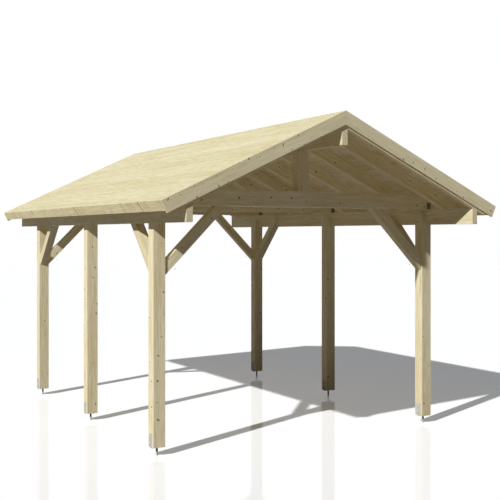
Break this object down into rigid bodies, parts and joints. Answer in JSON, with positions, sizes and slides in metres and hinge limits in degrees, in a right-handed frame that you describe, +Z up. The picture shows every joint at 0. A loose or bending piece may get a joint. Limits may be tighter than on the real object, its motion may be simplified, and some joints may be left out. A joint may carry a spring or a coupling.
{
  "type": "timber carport",
  "caption": "Open timber carport: square posts on steel post holders, braced purlins, tie beams with king posts, and a ridged roof of bare boards on rafters.",
  "frame": {"origin": "on the floor, in the middle of the plan, under the ridge and the middle tie beam", "axes": "+X to the right, +Y along the ridge from the front to the rear, +Z up"},
  "size_m": [3.736, 5.334, 3.2096],
  "materials": {
    "planed_spruce": "planed, untreated",
    "roof_boards": "planed, untreated",
    "sawn_boards": "fine sawn, untreated",
    "galvanised_steel": "hot-dip galvanised"
  },
  "bodies": {
    "root": {"front_king_post": "planed_spruce", "front_left_barge_board": "sawn_boards", "front_left_cross_brace": "planed_spruce", "front_left_long_brace": "planed_spruce", "front_left_post": "planed_spruce", "front_left_post_holder": "galvanised_steel", "front_right_barge_board": "sawn_boards", "front_right_cross_brace": "planed_spruce", "front_right_long_brace": "planed_spruce", "front_right_post": "planed_spruce", "front_right_post_holder": "galvanised_steel", "front_tie_beam": "planed_spruce", "front_tie_brackets": "galvanised_steel", "left_eaves_purlin": "planed_spruce", "left_fascia": "sawn_boards", "left_rafters": "planed_spruce", "left_roof_boarding": "roof_boards", "middle_king_post": "planed_spruce", "middle_left_post": "planed_spruce", "middle_left_post_holder": "galvanised_steel", "middle_right_post": "planed_spruce", "middle_right_post_holder": "galvanised_steel", "middle_tie_beam": "planed_spruce", "middle_tie_brackets": "galvanised_steel", "rear_king_post": "planed_spruce", "rear_left_barge_board": "sawn_boards", "rear_left_cross_brace": "planed_spruce", "rear_left_long_brace": "planed_spruce", "rear_left_post": "planed_spruce", "rear_left_post_holder": "galvanised_steel", "rear_right_barge_board": "sawn_boards", "rear_right_cross_brace": "planed_spruce", "rear_right_long_brace": "planed_spruce", "rear_right_post": "planed_spruce", "rear_right_post_holder": "galvanised_steel", "rear_tie_beam": "planed_spruce", "rear_tie_brackets": "galvanised_steel", "ridge_purlin": "planed_spruce", "right_eaves_purlin": "planed_spruce", "right_fascia": "sawn_boards", "right_rafters": "planed_spruce", "right_roof_boarding": "roof_boards"}
  },
  "joints": []
}
